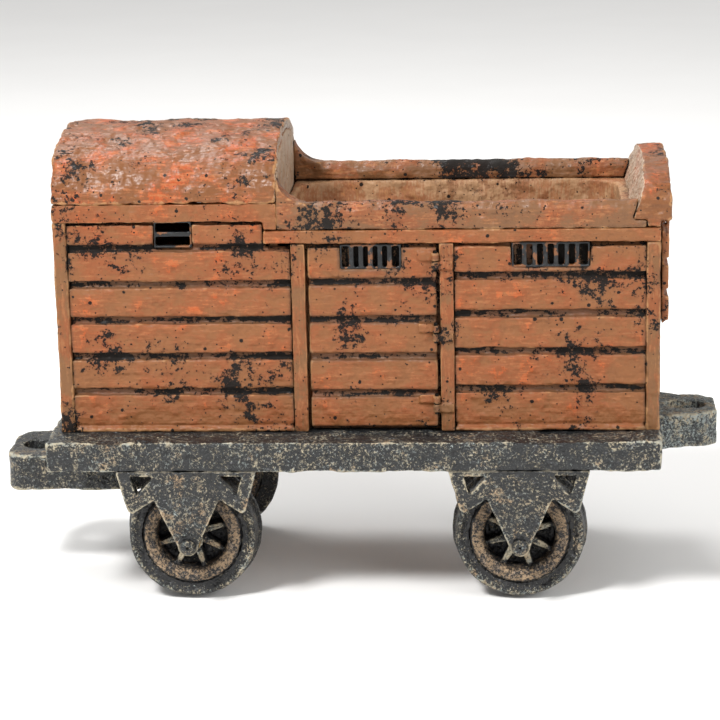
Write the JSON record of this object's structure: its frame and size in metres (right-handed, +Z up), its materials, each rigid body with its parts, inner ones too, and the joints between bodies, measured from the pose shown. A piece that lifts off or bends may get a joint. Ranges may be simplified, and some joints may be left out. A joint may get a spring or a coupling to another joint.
{
  "type": "mine cart",
  "caption": "Mine wagon on spoked wheels: a timber-clad body with an arched hood, an open trough, side doors, an end flap and slotted drawbars.",
  "frame": {"origin": "on the ground, under the middle of the underframe", "axes": "+X along the wagon towards the high drawbar, +Z up, -Y towards the front side; the wheels stand on z = 0"},
  "size_m": [0.1724, 0.0772, 0.1098],
  "materials": {
    "body_paint": "cast resin boards brushed in terracotta and orange over a dark undercoat, chipped, satin",
    "trough_paint": "cast resin, brown with pale dry-brushed streaks, satin",
    "chassis_paint": "cast resin in charcoal paint, heavily speckled with cream and pale blue dry-brushing",
    "wheel_paint": "cast resin in near-black paint with tan and cream dry-brushed rings",
    "grate_paint": "near-black wash",
    "bush_metal": "turned, dull",
    "pin_steel": "drawn wire, dulled"
  },
  "bodies": {
    "wagon": {"solebar_front": "chassis_paint", "solebar_back": "chassis_paint", "headstock_left": "chassis_paint", "headstock_right": "chassis_paint", "cross_bearers": "chassis_paint", "deck_boards": "trough_paint", "drawbar_low": "chassis_paint", "drawbar_packing": "chassis_paint", "drawbar_high": "chassis_paint", "axle_guard_front_left": "chassis_paint", "axle_guard_front_right": "chassis_paint", "axle_guard_back_left": "chassis_paint", "axle_guard_back_right": "chassis_paint", "guard_bolts": "chassis_paint", "axle_bushes": "bush_metal", "axle_caps": "wheel_paint", "corner_post_front_left": "body_paint", "corner_post_front_right": "body_paint", "corner_post_back_left": "body_paint", "corner_post_back_right": "body_paint", "door_post_front_left": "body_paint", "door_post_front_right": "body_paint", "door_post_back_left": "body_paint", "door_post_back_right": "body_paint", "side_boards_front_left": "body_paint", "side_boards_front_right": "body_paint", "side_boards_back_left": "body_paint", "side_boards_back_right": "body_paint", "side_rail_front": "body_paint", "side_rail_back": "body_paint", "hood_rail_front": "body_paint", "hood_rail_back": "body_paint", "end_boards_left": "body_paint", "end_boards_right": "body_paint", "door_pins_front": "pin_steel", "door_pins_back": "pin_steel", "window_grates": "grate_paint", "trough": "trough_paint", "hood": "body_paint", "bulkhead": "trough_paint", "end_cap": "body_paint", "rim_front": "body_paint", "rim_back": "body_paint", "end_flap_pin": "pin_steel"},
    "wheelset_left": {"axle_left": "wheel_paint", "wheel_centre_front_left": "wheel_paint", "wheel_centre_back_left": "wheel_paint", "tyre_front_left": "wheel_paint", "tyre_back_left": "wheel_paint"},
    "wheelset_right": {"axle_right": "wheel_paint", "wheel_centre_front_right": "wheel_paint", "wheel_centre_back_right": "wheel_paint", "tyre_front_right": "wheel_paint", "tyre_back_right": "wheel_paint"},
    "front_door_leaf": {"door_front": "body_paint", "door_grate_front": "grate_paint"},
    "back_door_leaf": {"door_back": "body_paint", "door_grate_back": "grate_paint"},
    "end_flap_leaf": {"end_flap": "body_paint"}
  },
  "joints": [
    {"name": "left_wheels_roll", "type": "hinge", "parent": "wagon", "child": "wheelset_left", "pos_m": [-0.03875, 0, 0.016], "axis": [0, 1, 0], "continuous": true},
    {"name": "right_wheels_roll", "type": "hinge", "parent": "wagon", "child": "wheelset_right", "pos_m": [0.03875, 0, 0.016], "axis": [0, 1, 0], "continuous": true},
    {"name": "front_door_swing", "type": "hinge", "parent": "wagon", "child": "front_door_leaf", "pos_m": [0.01965, -0.02845, 0.065], "axis": [0, 0, 1], "range_deg": [0, 105]},
    {"name": "back_door_swing", "type": "hinge", "parent": "wagon", "child": "back_door_leaf", "pos_m": [0.01965, 0.02845, 0.065], "axis": [0, 0, -1], "range_deg": [0, 105]},
    {"name": "end_flap_lift", "type": "hinge", "parent": "wagon", "child": "end_flap_leaf", "pos_m": [0.0732, 0, 0.08925], "axis": [0, -1, 0], "range_deg": [0, 90]}
  ]
}
